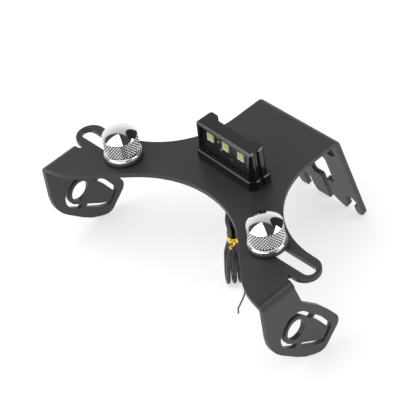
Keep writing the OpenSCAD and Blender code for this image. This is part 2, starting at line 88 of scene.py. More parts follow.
# %% [markdown]
# The camera looks down on the part from its front right, from so far that parallel edges stay
# nearly parallel. It is turned a little about its own line of sight, as the photograph is.

# %% The camera
VIEW_AZIMUTH = math.radians(49.72)
VIEW_ELEVATION = math.radians(39.89)
VIEW_ROLL = math.radians(5.37)
VIEW_TARGET = Vector((11.36, -33.94, 59.65)) * MM
VIEW_DISTANCE = 1122.4 * MM
VIEW_LENS = 186.63

forward = Vector((-math.sin(VIEW_AZIMUTH) * math.cos(VIEW_ELEVATION),
                  math.cos(VIEW_AZIMUTH) * math.cos(VIEW_ELEVATION),
                  -math.sin(VIEW_ELEVATION)))
camera_data = bpy.data.cameras.new("camera")
camera_data.lens = VIEW_LENS
camera_data.sensor_width = 36
camera_data.clip_end = 20
camera = bpy.data.objects.new("camera", camera_data)
bpy.context.scene.collection.objects.link(camera)
aim = forward.to_track_quat("-Z", "Y").to_matrix().to_4x4()
camera.matrix_world = (Matrix.Translation(VIEW_TARGET - forward * VIEW_DISTANCE) @ aim
                       @ Matrix.Rotation(-VIEW_ROLL, 4, "Z"))
bpy.context.scene.camera = camera
print("camera at", [round(v, 3) for v in camera.matrix_world.translation])

# %% [markdown]
# ## The cable
#
# The light's cable comes out of a rubber sleeve under the plate. It is wound into a hank of three
# and a half turns, held by a foil tie, and its end lies on the floor. A curve that follows the
# middle of the cable keeps its real length and thickness, whatever way it takes, so the cable is
# one curve with a round section and not a row of tubes.

# %% Points of the free stretches, in millimetres, as in the part
CABLE_D = 2.4 * MM
sleeve_end = plate_frame @ (Vector((0, 29.8, -10.2)) * MM)
sleeve_way = plate_frame @ (Vector((0, 29.8, -15.2)) * MM)
lead_points = [sleeve_end, sleeve_way] + [Vector(p) * MM for p in (
    (0.6, -4, 43), (2, -7, 40.4), (4, -11, 39), (6, -14.3, 38.8), (8.3, -16.7, 38.7),
    (10.1, -18.5, 37.4))]
tail_points = [Vector(p) * MM for p in (
    (17.4, -11.6, 1.3), (20, -10.4, 1.3), (22.6, -11.4, 1.3), (24.2, -14.4, 1.3),
    (24.8, -18, 1.3), (24.4, -21.4, 1.3), (24.2, -24.4, 1.3))]
print("the cable leaves the sleeve at", [round(v * 1000, 1) for v in sleeve_end])

# %% [markdown]
# In the hank each run goes from a fold at the bottom to a fold at the top. Half way up the tie
# draws the runs together, so every run has a place at the folds and another in the tie, and
# glides between the two.

# %% The runs of the hank
hank_frame = (Matrix.Translation(Vector((12.3, -21.2, 0.55)) * MM)
              @ Matrix.Rotation(math.radians(3.7), 4, "Y") @ Matrix.Rotation(math.radians(53), 4, "Z"))
TIE_Z = 33.5
FOLD_R = 4.8
FOLD_LOW = 6.2
FOLD_HIGH = 49.2


def run_place(run, z):
    """The middle of a run at height z, in the hank's millimetres."""
    closed = 0.5 + 0.5 * math.cos(math.pi * min(1, abs(z - TIE_Z) / 18))
    x = run["tie"][0] + (run["fold"][0] - run["tie"][0]) * (1 - closed) ** run["ease"][0]
    y = run["tie"][1] + (run["fold"][1] - run["tie"][1]) * (1 - closed) ** run["ease"][1]
    return Vector((x, y, z))


def run_points(run, start, end, step=2.0):
    count = max(2, round(abs(end - start) / step))
    return [run_place(run, start + (end - start) * i / count) for i in range(count + 1)]


def fold_points(a, b, z, turn, count=7):
    """A half circle between two runs, above (turn 1) or below (turn -1) the height of their ends; z is not
    used.
    """
    middle = (a + b) / 2
    reach = (b - a) / 2
    return [middle - reach * math.cos(math.pi * i / count)
            + Vector((0, 0, turn * FOLD_R * math.sin(math.pi * i / count)))
            for i in range(1, count)]


def one_run(x, y, tie_x, tie_y, ease=(1, 1)):
    return {"fold": (x, y), "tie": (tie_x, tie_y), "ease": ease}


left_down = one_run(-3.4, 4.8, -1.25, 2.5)
left_up = one_run(-3.4, -4.8, -1.25, -2.5)
middle_down = one_run(0, 4.8, -1.25, 0, (2, 1.8))
middle_up = one_run(0, -4.8, 1.25, 0, (2, 1.8))
right_down = one_run(3.4, 4.8, 1.25, 2.5)
right_up = one_run(3.4, -4.8, 1.25, -2.5)
last_down = one_run(6, 4.8, 3.75, 0, (1, 1.8))
last_out = one_run(6, 2, 3.75, 0, (1, 1.8))
runs = [left_down, left_up, middle_down, middle_up, right_down, right_up]

hank = run_points(left_down, TIE_Z + 1.5, FOLD_LOW)
for down, up, following in ((left_down, left_up, middle_down), (middle_down, middle_up, right_down),
                            (right_down, right_up, last_down)):
    hank += fold_points(run_place(down, FOLD_LOW), run_place(up, FOLD_LOW), FOLD_LOW, -1)
    hank += run_points(up, FOLD_LOW, FOLD_HIGH)
    hank += fold_points(run_place(up, FOLD_HIGH), run_place(following, FOLD_HIGH), FOLD_HIGH, 1)
    if following is not last_down:
        hank += run_points(following, FOLD_HIGH, FOLD_LOW)
hank += run_points(last_down, FOLD_HIGH, TIE_Z) + run_points(last_out, TIE_Z - 2, FOLD_LOW + 0.2)
hank += [Vector((6.4, 2, 4.2)), Vector((7.5, 2, 2.5))]
hank_path = [hank_frame @ (p * MM) for p in hank]
print("points in the hank:", len(hank_path))

# %% [markdown]
# A cable has no corners, so its points are joined by a path that passes through each of them and
# turns gently in between. The radius of the curve's points gives the cable its thickness.


# %% The whole path, made smooth
def smooth_path(points, steps=3):
    """A path that passes through every point and turns gently between them."""
    ends = [points[0] * 2 - points[1]] + points + [points[-1] * 2 - points[-2]]
    path = []
    for a, b, c, d in zip(ends, ends[1:], ends[2:], ends[3:]):
        for i in range(steps):
            t = i / steps
            path.append(0.5 * (2 * b + (c - a) * t + (2 * a - 5 * b + 4 * c - d) * t * t
                               + (3 * b - a - 3 * c + d) * t ** 3))
    return path + [points[-1]]


cable_path = smooth_path(lead_points + hank_path + tail_points)
cable_curve = bpy.data.curves.new("light_cable", "CURVE")
cable_curve.dimensions = "3D"
cable_curve.bevel_depth = 1
cable_curve.bevel_resolution = 3
cable_curve.use_fill_caps = True
spline = cable_curve.splines.new("POLY")
spline.points.add(len(cable_path) - 1)
for point, place in zip(spline.points, cable_path):
    point.co = (*place, 1)
    point.radius = CABLE_D / 2
spline.use_smooth = True
light_cable = bpy.data.objects.new("light_cable", cable_curve)
bpy.context.scene.collection.objects.link(light_cable)
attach(light_cable, "frame")
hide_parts("cable_lead", "cable_hank", "cable_tail")

# %% [markdown]
# ## Tools for shaping
#
# A few small helpers do what a hand does in the viewport: deselect everything, pick faces or
# vertices by where they are, and put a finished piece down with its place in its mesh.


# %% Helpers for selecting and placing
def deselect():
    if bpy.context.mode != "OBJECT":
        bpy.ops.object.mode_set(mode="OBJECT")
    bpy.ops.object.select_all(action="DESELECT")


def take(piece):
    deselect()
    piece.select_set(True)
    bpy.context.view_layer.objects.active = piece


def pick(piece, kind, test):
    """In edit mode, selects the vertices, edges or faces that pass a test on their middle."""
    bpy.ops.mesh.select_mode(type=kind)
    bpy.ops.mesh.select_all(action="DESELECT")
    shape = bmesh.from_edit_mesh(piece.data)
    parts = {"VERT": shape.verts, "EDGE": shape.edges, "FACE": shape.faces}[kind]
    for part in parts:
        if kind == "VERT":
            part.select = bool(test(part.co))
        elif kind == "EDGE":
            part.select = bool(test(part))
        else:
            part.select = bool(test(part.calc_center_median(), part.normal))
    shape.select_flush_mode()
    bmesh.update_edit_mesh(piece.data)


def put_down(piece, place):
    """Moves the mesh to its place, with the object itself left at the origin."""
    take(piece)
    piece.matrix_world = place
    bpy.ops.object.transform_apply(location=True, rotation=True, scale=True)


def apply_all(piece):
    take(piece)
    for modifier in list(piece.modifiers):
        bpy.ops.object.modifier_apply(modifier=modifier.name)


print("helpers ready")

# %% [markdown]
# Sheet that was cut, folded and coated has no sharp edge: the coat rounds every corner, and that
# thin round line catches the light. The measured mesh is left alone, and a copy of it gets the
# round edge: its loose triangles are merged, flat areas become single faces, and a Bevel modifier
# works on the corners only.

# %% A copy of a part with rounded edges
BEVEL_ABOVE = math.radians(30)
SMOOTH_BELOW = math.radians(32)
LONG_EDGE = 20 * MM


def is_top_front(edge):
    """A long edge between a face that looks up and a face that looks to the front."""
    facing = [face.normal for face in edge.link_faces]
    return (edge.calc_length() > LONG_EDGE and any(n.dot(knob_axis) > 0.95 for n in facing)
            and any(n.y < -0.9 for n in facing))


def softened(node, body, width, segments=2, chamfer=0):
    """A copy of a measured part with rounded edges, which takes the part's place."""
    piece = nodes[node].copy()
    piece.data = nodes[node].data.copy()
    piece.name = node + "_finished"
    for key in list(piece.keys()):
        del piece[key]
    piece.parent = None
    bpy.context.scene.collection.objects.link(piece)
    take(piece)
    bpy.ops.mesh.customdata_custom_splitnormals_clear()
    bpy.ops.object.mode_set(mode="EDIT")
    bpy.ops.mesh.select_all(action="SELECT")
    bpy.ops.mesh.remove_doubles(threshold=2e-6)
    bpy.ops.mesh.dissolve_limited(angle_limit=math.radians(0.6))
    if chamfer:
        pick(piece, "EDGE", is_top_front)
        bpy.ops.mesh.bevel(offset=chamfer, segments=1, affect="EDGES")
    bpy.ops.object.mode_set(mode="OBJECT")
    bevel = piece.modifiers.new("round edge", "BEVEL")
    bevel.width = width
    bevel.segments = segments
    bevel.limit_method = "ANGLE"
    bevel.angle_limit = BEVEL_ABOVE
    bevel.use_clamp_overlap = False
    bevel.miter_outer = "MITER_ARC"
    apply_all(piece)
    bpy.ops.object.shade_smooth_by_angle(angle=SMOOTH_BELOW)
    level = piece.modifiers.new("flat faces stay flat", "WEIGHTED_NORMAL")
    level.keep_sharp = True
    apply_all(piece)
    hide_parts(node)
    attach(piece, body)
    return piece


bracket = softened("bracket", "frame", 0.3 * MM)
print("bracket faces:", len(bracket.data.polygons))

# %% [markdown]
# ## The knobs
#
# A knob is turned from bar: a flared foot, a knurled grip and a low crown. In Blender a turned
# shape is a disc that is extruded upwards in steps, each step scaled to the radius of the profile.
# The knurl is its own shell, because its diamonds need a lattice of vertices that the smooth parts
# don't.


# %% A helper for turned shapes
def turned(name, profile, sides=96):
    """A disc extruded and scaled along a profile of (radius, height) in millimetres."""
    deselect()
    radius, height = profile[0]
    bpy.ops.mesh.primitive_circle_add(vertices=sides, radius=radius * MM, fill_type="NGON",
                                      location=(0, 0, height * MM))
    piece = bpy.context.object
    piece.name = name
    bpy.ops.object.transform_apply(location=True)
    bpy.ops.object.mode_set(mode="EDIT")
    bpy.ops.mesh.select_all(action="SELECT")
    for new_radius, new_height in profile[1:]:
        bpy.ops.mesh.extrude_region_move(
            TRANSFORM_OT_translate={"value": (0, 0, (new_height - height) * MM)})
        factor = new_radius / radius
        bpy.ops.transform.resize(value=(factor, factor, 1), center_override=(0, 0, 0))
        radius, height = new_radius, new_height
    bpy.ops.mesh.select_all(action="SELECT")
    bpy.ops.mesh.normals_make_consistent(inside=False)
    bpy.ops.object.mode_set(mode="OBJECT")
    return piece


print("helper for turned shapes ready")

# %% [markdown]
# The profile runs up from the foot: its rounded rim, the flare that narrows to the grip, the
# shoulder over the knurl, and the crown, which is a piece of a large ball.

# %% The smooth body of a knob
KNOB_R = 9.7
KNURL_LOW = 2.1
KNURL_HIGH = 12.0
KNURL_IN = 9.15
FOOT_OUT = 10.4
CROWN_LOW = 12.2
CROWN_H = 3.2
flare = [(KNURL_IN + (FOOT_OUT - 0.1 - KNURL_IN) * (1 - math.sin(math.radians(a))),
          0.75 + (KNURL_LOW - 0.75) * (1 - math.cos(math.radians(a)))) for a in range(0, 91, 10)]
CROWN_ROUND = (KNOB_R ** 2 + CROWN_H ** 2) / (2 * CROWN_H)
crown = [(r, CROWN_LOW + CROWN_H - CROWN_ROUND + math.sqrt(CROWN_ROUND ** 2 - r * r))
         for r in (9.62, 9.5, 9.3, 9.0, 8.5, 8, 7.4, 6.8, 6, 5.2, 4.4, 3.6, 2.8, 2, 1.2, 0.5, 0.1)]
foot = [(FOOT_OUT - 0.35, 0), (FOOT_OUT - 0.08, 0.1), (FOOT_OUT, 0.25), (FOOT_OUT, 0.55),
        (FOOT_OUT - 0.04, 0.7)]
shoulder = [(KNURL_IN, KNURL_HIGH), (KNOB_R - 0.1, KNURL_HIGH + 0.04),
            (KNOB_R - 0.02, KNURL_HIGH + 0.12), (KNOB_R - 0.04, CROWN_LOW)]
knob = turned("knob_pattern", foot + flare + shoulder + crown)
print("faces of a knob's body:", len(knob.data.polygons))

# %% [markdown]
# The knurl starts as an open cylinder. Its upright edges are cut into rings, every second vertex
# of the lattice is pushed out, and each four-sided cell is split along its groove, which is the
# shorter diagonal. Last the tips are cut flat, as plating and wear leave them.

# %% The knurl
DIAMONDS_ROUND = 36
DIAMONDS_UP = 5
TIP_CUT = 0.14 * MM
deselect()
bpy.ops.mesh.primitive_cylinder_add(vertices=2 * DIAMONDS_ROUND, radius=(KNURL_IN + 0.02) * MM,
                                    depth=(KNURL_HIGH - KNURL_LOW) * MM, end_fill_type="NOTHING",
                                    location=(0, 0, (KNURL_HIGH + KNURL_LOW) / 2 * MM))
knurl = bpy.context.object
knurl.name = "knurl_pattern"
bpy.ops.object.transform_apply(location=True)
bpy.ops.object.mode_set(mode="EDIT")
pick(knurl, "EDGE", lambda e: abs(e.verts[0].co.z - e.verts[1].co.z) > 1 * MM)
bpy.ops.mesh.subdivide(number_cuts=2 * DIAMONDS_UP - 1)


def is_tip(co):
    column = round(math.atan2(co.y, co.x) / math.pi * DIAMONDS_ROUND + 0.001)
    row = round((co.z / MM - KNURL_LOW) / (KNURL_HIGH - KNURL_LOW) * 2 * DIAMONDS_UP)
    return 0 < row < 2 * DIAMONDS_UP and (column + row) % 2 == 1


pick(knurl, "VERT", is_tip)
push = (KNOB_R + 0.12) / KNURL_IN
bpy.ops.transform.resize(value=(push, push, 1), center_override=(0, 0, 0))
bpy.ops.mesh.select_all(action="SELECT")
bpy.ops.mesh.quads_convert_to_tris(quad_method="SHORTEST_DIAGONAL")
pick(knurl, "VERT", lambda co: math.hypot(co.x, co.y) > KNOB_R * MM)
bpy.ops.mesh.bevel(offset=TIP_CUT, offset_type="OFFSET", affect="VERTICES", segments=1)
bpy.ops.object.mode_set(mode="OBJECT")
print("faces of the knurl:", len(knurl.data.polygons))

# %% [markdown]
# The grooves between the diamonds get little light beside the bright tips. Each vertex stores a
# value for painted shade, 0 in a groove and 1 elsewhere, and the chrome reads that value later.

# %% Painted shade for the grooves, on each vertex
GROOVE_R = (KNURL_IN + 0.1) * MM
# painted shade: vertices in a groove get 0, so the chrome is painted dark there
for piece in (knob, knurl):
    groove_shade = piece.data.attributes.new("groove_shade", "FLOAT", "POINT")
    for vertex, spot in zip(piece.data.vertices, groove_shade.data):
        groove = piece is knurl and math.hypot(*vertex.co.xy) < GROOVE_R
        spot.value = 0.0 if groove else 1.0
print("polish stored on", len(knob.data.vertices) + len(knurl.data.vertices), "vertices")

# %% [markdown]
# Body and knurl are joined into one pattern. It is copied to both seats, each copy with its own
# mesh, and each rides on the body that turns.

# %% Both knobs
knobs = {}
take(knob)
knurl.select_set(True)
bpy.ops.object.join()
bpy.ops.object.shade_smooth_by_angle(angle=math.radians(24))
for side in ("left", "right"):
    piece = knob.copy()
    piece.data = knob.data.copy()
    piece.name = side + "_knob_finished"
    bpy.context.scene.collection.objects.link(piece)
    put_down(piece, Matrix.Translation(knob_seats[side]) @ Matrix.Rotation(tilt, 4, "X"))
    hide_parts(side + "_knob")
    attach(piece, side + "_knob")
    knobs[side] = piece
bpy.data.objects.remove(knob)
print("knobs:", sorted(knobs))

# %% [markdown]
# ## Washers and screws
#
# The rubber washers are moulded, with a small round at their rim, and the steel ones are stamped.
# A narrow bevel is all that they need.

# %% Washers and screws with their edges broken
rubber_washers = [softened(side + "_rubber_washer", side + "_clamp", 0.8 * MM, segments=4)
                  for side in ("left", "right")]
zinc_pieces = [softened(side + "_flat_washer", side + "_clamp", 0.15 * MM)
               for side in ("left", "right")]
zinc_pieces += [softened(side + "_plate_screw", side + "_clamp", 0.15 * MM)
                for side in ("left", "right")]
print("washers and screws:", len(rubber_washers) + len(zinc_pieces))

# %% [markdown]
# ## The light
#
# Base and cover are cast and painted gloss black. Bright lines run along the top and along the
# ledge, where a lamp is mirrored in a chamfer and a lighter enamel adds a painted highlight. The
# cover has its chamfer from the measured part, and the ledge gets one here, because a 0.2 mm round
# alone would be too thin to be seen.

# %% Base and cover
light_base = softened("light_base", "frame", 0.2 * MM, chamfer=0.7 * MM)
light_cover = softened("light_cover", "frame", 0.2 * MM)
print("light faces:", len(light_base.data.polygons), len(light_cover.data.polygons))

# %% [markdown]
# A light chip is a white ceramic frame with a shallow well, and the well is filled with yellow
# phosphor. A cube is set to size, its front face is inset and pushed in, and that face alone gets
# the phosphor.

# %% The light chips
LIGHT_TURN = math.radians(-2.4)
COVER_LEAN, COVER_H = 2, 17.6
face_turn = (Matrix.Rotation(tilt, 4, "X") @ Matrix.Rotation(LIGHT_TURN, 4, "Z")
             @ Matrix.Rotation(-math.atan(COVER_LEAN / COVER_H), 4, "X"))
CHIP = Vector((5, 1, 5)) * MM
CHIP_RIM = 0.6 * MM
CHIP_STEP = 0.12 * MM
CHIP_WELL = 0.2 * MM
CHIP_EDGE = 0.1 * MM
light_chips = []
for node in ("left_light_chip", "middle_light_chip", "right_light_chip"):
    low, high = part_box(node)
    deselect()
    bpy.ops.mesh.primitive_cube_add(size=1)
    chip = bpy.context.object
    chip.name = node + "_finished"
    chip.scale = CHIP
    bpy.ops.object.transform_apply(scale=True)
    bpy.ops.object.mode_set(mode="EDIT")
    pick(chip, "FACE", lambda middle, normal: normal.y < -0.9)
    bpy.ops.mesh.inset(thickness=CHIP_RIM)
    bpy.ops.transform.translate(value=(0, CHIP_STEP, 0))
    bpy.ops.mesh.inset(thickness=CHIP_STEP, depth=-CHIP_WELL)
    bpy.ops.object.mode_set(mode="OBJECT")
    bevel = chip.modifiers.new("edge", "BEVEL")
    bevel.width = CHIP_EDGE
    bevel.segments = 1
    bevel.limit_method = "ANGLE"
    apply_all(chip)
    put_down(chip, Matrix.Translation((low + high) / 2) @ face_turn)
    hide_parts(node)
    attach(chip, "frame")
    light_chips.append(chip)
print("light chips:", len(light_chips))

# %% [markdown]
# ## The foil tie
#
# The tie is a strip of gold foil over a wire, bent round the hank and twisted in front. The band
# follows the runs that it holds, and its two ends are strips turned about their own length.

# %% The band of the tie
tie_middle = Vector((1.25, 0, TIE_Z))
BAND_H = 3.4 * MM
BAND_GAP = 0.3
CRUMPLE = 0.28
FOIL_T = 0.12 * MM
tied_places = [Vector(run["tie"]) for run in runs] + [Vector(last_down["tie"])]


def band_reach(angle):
    """How far the runs reach from the middle of the tie in one direction."""
    way = Vector((math.cos(angle), math.sin(angle)))
    return max((place - tie_middle.xy).dot(way) for place in tied_places) + 1.2


deselect()
bpy.ops.mesh.primitive_cylinder_add(vertices=36, radius=1 * MM, depth=BAND_H, end_fill_type="NOTHING")
foil_tie = bpy.context.object
foil_tie.name = "foil_tie"
bpy.ops.object.mode_set(mode="EDIT")
pick(foil_tie, "EDGE", lambda e: abs(e.verts[0].co.z - e.verts[1].co.z) > 1 * MM)
bpy.ops.mesh.subdivide(number_cuts=5)
bpy.ops.object.mode_set(mode="OBJECT")
for vertex in foil_tie.data.vertices:
    angle = math.atan2(vertex.co.y, vertex.co.x)
    crumple = CRUMPLE * noise.noise(Vector((4 * math.cos(angle), 4 * math.sin(angle), vertex.co.z * 900)))
    reach = (band_reach(angle) + BAND_GAP + crumple) * MM
    vertex.co = Vector((reach * math.cos(angle), reach * math.sin(angle), vertex.co.z))
skin = foil_tie.modifiers.new("foil", "SOLIDIFY")
skin.thickness = FOIL_T
apply_all(foil_tie)
put_down(foil_tie, hank_frame @ Matrix.Translation(tie_middle * MM))
print("band faces:", len(foil_tie.data.polygons))

# %% [markdown]
# Each end is a flat grid turned about its own length. A little noise in the turn makes the foil
# look crumpled by hand.


# %% The twisted ends of the tie
def twisted_end(name, length, width, turns, bend):
    """A strip of foil turned about its own length and bent to one side."""
    deselect()
    bpy.ops.mesh.primitive_grid_add(x_subdivisions=24, y_subdivisions=4, size=1)
    strip = bpy.context.object
    strip.name = name
    strip.scale = (length * MM, width * MM, 1)
    bpy.ops.object.transform_apply(scale=True)
    for vertex in strip.data.vertices:
        along = vertex.co.x / (length * MM) + 0.5
        angle = turns * 2 * math.pi * along + 3 * noise.noise(Vector((along * 4, width, length)))
        across = vertex.co.y * (0.35 + 0.65 * math.sin(math.pi * min(1, along * 0.7 + 0.15)))
        vertex.co = Vector((along * length * MM, across * math.cos(angle),
                            across * math.sin(angle) + bend * along * along * MM))
    skin = strip.modifiers.new("foil", "SOLIDIFY")
    skin.thickness = 0.14 * MM
    apply_all(strip)
    return strip


tie_front = Vector((0.3, -4.35, TIE_Z))
tie_ends = []
for name, length, width, turns, bend, heading in (
        ("tie_end_down", 5.4, 2.3, 0.8, 0.6, -118), ("tie_end_up", 4.6, 2.5, 0.7, 0.5, 38),
        ("tie_knot", 3.0, 2.6, 1.1, 0.2, 170)):
    strip = twisted_end(name, length, width, turns, bend)
    place = (hank_frame @ Matrix.Translation(tie_front * MM) @ Matrix.Rotation(math.radians(90), 4, "X")
             @ Matrix.Rotation(math.radians(heading), 4, "Z"))
    put_down(strip, place)
    tie_ends.append(strip)
take(foil_tie)
for strip in tie_ends:
    strip.select_set(True)
bpy.ops.object.join()
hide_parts("twist_tie")
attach(foil_tie, "frame")
print("faces of the tie:", len(foil_tie.data.polygons))

# %% [markdown]

# %% [markdown]
# ## Finishes
#
# Each finish is made of nodes on Object coordinates, so a grain keeps its size in millimetres and
# stays in place when a part moves. The fine unevenness that several finishes share is one group.


# %% The shared grain group
def new_group(name, inputs, outputs):
    group = bpy.data.node_groups.new(name, "ShaderNodeTree")
    for label, kind, value in inputs:
        socket = group.interface.new_socket(name=label, in_out="INPUT", socket_type=kind)
        socket.default_value = value
    for label, kind in outputs:
        group.interface.new_socket(name=label, in_out="OUTPUT", socket_type=kind)
    return group, group.nodes.new("NodeGroupInput"), group.nodes.new("NodeGroupOutput")


grain, grain_in, grain_out = new_group(
    "fine grain",
    [("Size", "NodeSocketFloat", 900.0), ("Depth", "NodeSocketFloat", 0.1),
     ("Dark", "NodeSocketColor", (0.02, 0.02, 0.02, 1)), ("Light", "NodeSocketColor", (0.03, 0.03, 0.03, 1)),
     ("Smooth", "NodeSocketFloat", 0.35), ("Rough", "NodeSocketFloat", 0.5)],
    [("Color", "NodeSocketColor"), ("Roughness", "NodeSocketFloat"), ("Normal", "NodeSocketVector")])
links = grain.links.new
place = grain.nodes.new("ShaderNodeTexCoord")
fine = grain.nodes.new("ShaderNodeTexNoise")
fine.inputs["Detail"].default_value = 3
broad = grain.nodes.new("ShaderNodeTexNoise")
broad.inputs["Scale"].default_value = 28
broad.inputs["Detail"].default_value = 4
tone = grain.nodes.new("ShaderNodeMix")
tone.data_type = "RGBA"
level = grain.nodes.new("ShaderNodeMapRange")
bump = grain.nodes.new("ShaderNodeBump")
bump.inputs["Distance"].default_value = 0.00006
links(place.outputs["Object"], fine.inputs["Vector"])
links(place.outputs["Object"], broad.inputs["Vector"])
links(grain_in.outputs["Size"], fine.inputs["Scale"])
links(broad.outputs["Fac"], tone.inputs["Factor"])
links(grain_in.outputs["Dark"], tone.inputs["A"])
links(grain_in.outputs["Light"], tone.inputs["B"])
links(broad.outputs["Fac"], level.inputs["Value"])
links(grain_in.outputs["Smooth"], level.inputs["To Min"])
links(grain_in.outputs["Rough"], level.inputs["To Max"])
links(fine.outputs["Fac"], bump.inputs["Height"])
links(grain_in.outputs["Depth"], bump.inputs["Strength"])
links(tone.outputs["Result"], grain_out.inputs["Color"])
links(level.outputs["Result"], grain_out.inputs["Roughness"])
links(bump.outputs["Normal"], grain_out.inputs["Normal"])
print("group:", grain.name)

# %% [markdown]
# A finish is one Principled shader. The group drives its tone, roughness and grain, and the values
# that don't vary are set on the shader itself. A second colour is mixed in before the shader.


# %% Finishes from the grain group
def grained(name, dark, light, smooth, rough, size=900.0, depth=0.1, **plain):
    """A material whose tone, roughness and grain vary, with its other values plain."""
    material = bpy.data.materials.new(name)
    material.use_nodes = True
    tree = material.node_tree
    shader = tree.nodes["Principled BSDF"]
    for label, value in plain.items():
        shader.inputs[label].default_value = value
    node = tree.nodes.new("ShaderNodeGroup")
    node.node_tree = grain
    for label, value in (("Size", size), ("Depth", depth), ("Dark", (*dark, 1)), ("Light", (*light, 1)),
                         ("Smooth", smooth), ("Rough", rough)):
        node.inputs[label].default_value = value
    tree.links.new(node.outputs["Color"], shader.inputs["Base Color"])
    tree.links.new(node.outputs["Roughness"], shader.inputs["Roughness"])
    tree.links.new(node.outputs["Normal"], shader.inputs["Normal"])
    return material


def wear(piece, *materials):
    """Gives a piece its finish."""
    piece.data.materials.clear()
    for material in materials:
        piece.data.materials.append(material)


def mixed_in(material, tint, share):
    """Shows a tint where the share is 0, and the finish's own tone where it is 1."""
    tree = material.node_tree
    base = tree.nodes["Principled BSDF"].inputs["Base Color"]
    own = base.links[0].from_socket
    mix = tree.nodes.new("ShaderNodeMix")
    mix.data_type = "RGBA"
    mix.inputs["A"].default_value = (*tint, 1)
    tree.links.new(share, mix.inputs["Factor"])
    tree.links.new(own, mix.inputs["B"])
    tree.links.new(mix.outputs["Result"], base)


print("finish helpers ready")

# %% [markdown]
# Powder coat is a deep black with a fine, even roughness. The rubber is a little paler and duller,
# and the washers and screws under the plate are zinc-plated.

# %% Coat, rubber and zinc
powder_coat = grained("black powder coat", (0.017, 0.017, 0.0168), (0.024, 0.024, 0.0236), 0.34, 0.44,
                      size=1400, depth=0.16)
rubber = grained("black rubber", (0.028, 0.028, 0.028), (0.042, 0.042, 0.042), 0.36, 0.48,
                 size=1600, depth=0.15)
zinc = grained("zinc-plated steel", (0.52, 0.53, 0.55), (0.66, 0.67, 0.68), 0.22, 0.38,
               size=700, depth=0.06, Metallic=1.0)
rubber_pieces = rubber_washers + [nodes["light_gasket"], nodes["cable_grommet"]]
zinc_pieces += [nodes["light_screws"], nodes["light_screw_washers"]]
wear(bracket, powder_coat)
for piece in rubber_pieces:
    wear(piece, rubber)
for piece in zinc_pieces:
    wear(piece, zinc)
print("rubber pieces:", len(rubber_pieces), "zinc pieces:", len(zinc_pieces))

# %% [markdown]
# Chrome is nearly a mirror. Where the stored value is low it fades to a dark tone, a painted shade
# in the grooves, so that the diamonds stand out from them.

# %% Chrome, with painted shade in its grooves
chrome = grained("polished chrome", (0.82, 0.815, 0.80), (0.88, 0.875, 0.86), 0.03, 0.07,
                 size=300, depth=0.01, Metallic=1.0)
stored = chrome.node_tree.nodes.new("ShaderNodeAttribute")
stored.attribute_name = "groove_shade"
unshaded = chrome.node_tree.nodes.new("ShaderNodeMapRange")
unshaded.inputs["From Min"].default_value = 0.24
unshaded.inputs["From Max"].default_value = 0.44
chrome.node_tree.links.new(stored.outputs["Fac"], unshaded.inputs["Value"])
# painted shade: near-black is mixed into the chrome where the grooves are
mixed_in(chrome, (0.03, 0.03, 0.03), unshaded.outputs["Result"])
for piece in knobs.values():
    wear(piece, chrome)
print("knobs plated:", len(knobs))

# %% [markdown]
# The light's enamel is a glossy black. Its sloping faces mirror the lamp as bright lines, which a
# plain black would leave too dark, so those faces get a lighter enamel with metal in it as a painted
# highlight on top of the real mirroring.

# %% Enamel of the light, with a painted highlight on its sloping faces
light_black_gloss = grained("gloss black enamel", (0.004, 0.004, 0.0042), (0.007, 0.007, 0.0072), 0.08,
                            0.16, size=500, depth=0.04)
# painted highlight: a lighter metallic black on the sloping faces stands in for the lamp's reflection
highlight_painted_enamel = grained("enamel with painted highlight", (0.080, 0.078, 0.070), (0.120, 0.117, 0.105), 0.14,
                        0.24, size=500, depth=0.04, Metallic=1.0)
SLOPE_LEAST, SLOPE_MOST = 0.55, 0.83
sloping = 0
for piece in (light_base, light_cover):
    wear(piece, light_black_gloss, highlight_painted_enamel)
    for face in piece.data.polygons:
        if SLOPE_LEAST < face.normal.dot(knob_axis) < SLOPE_MOST:
            face.material_index = 1
            sloping += 1
print("sloping faces of the light:", sloping)

# %% [markdown]
# Behind the clear window lie the dark board and the chips. A chip's frame is white ceramic, and
# only the bottom of its well gets the phosphor.

# %% Board, window and chips
board_black = grained("black circuit board", (0.006, 0.008, 0.007), (0.014, 0.017, 0.015), 0.3, 0.42,
                      size=900, depth=0.05)
window_clear = grained("clear window", (0.012, 0.014, 0.012), (0.018, 0.02, 0.018), 0.02, 0.05, size=300,
                       depth=0.01, Alpha=0.16)
chip_white = grained("white ceramic", (0.84, 0.85, 0.76), (0.92, 0.93, 0.84), 0.3, 0.4, size=900,
                     depth=0.02)
phosphor = grained("yellow phosphor", (0.84, 0.86, 0.14), (0.94, 0.95, 0.26), 0.3, 0.45, size=2600,
                   depth=0.1)
wear(nodes["light_board"], board_black)
wear(nodes["light_window"], window_clear)
NEAR_MIDDLE = 0.6 * MM
inward = face_turn.to_3x3() @ Vector((0, 1, 0))
for chip in light_chips:
    wear(chip, chip_white, phosphor)
    middle = sum((Vector(c) for c in chip.bound_box), Vector()) / 8
    for face in chip.data.polygons:
        off = face.center - middle
        sideways = (off - inward * off.dot(inward)).length
        if face.normal.dot(inward) < -0.9 and sideways < NEAR_MIDDLE:
            face.material_index = 1
print("chips dressed:", len(light_chips))

# %% [markdown]
# The small parts on the board are tan, apart from the lowest one, which is red. They are one node
# with one finish, so the red is shown within a short reach of the node's lowest vertex.

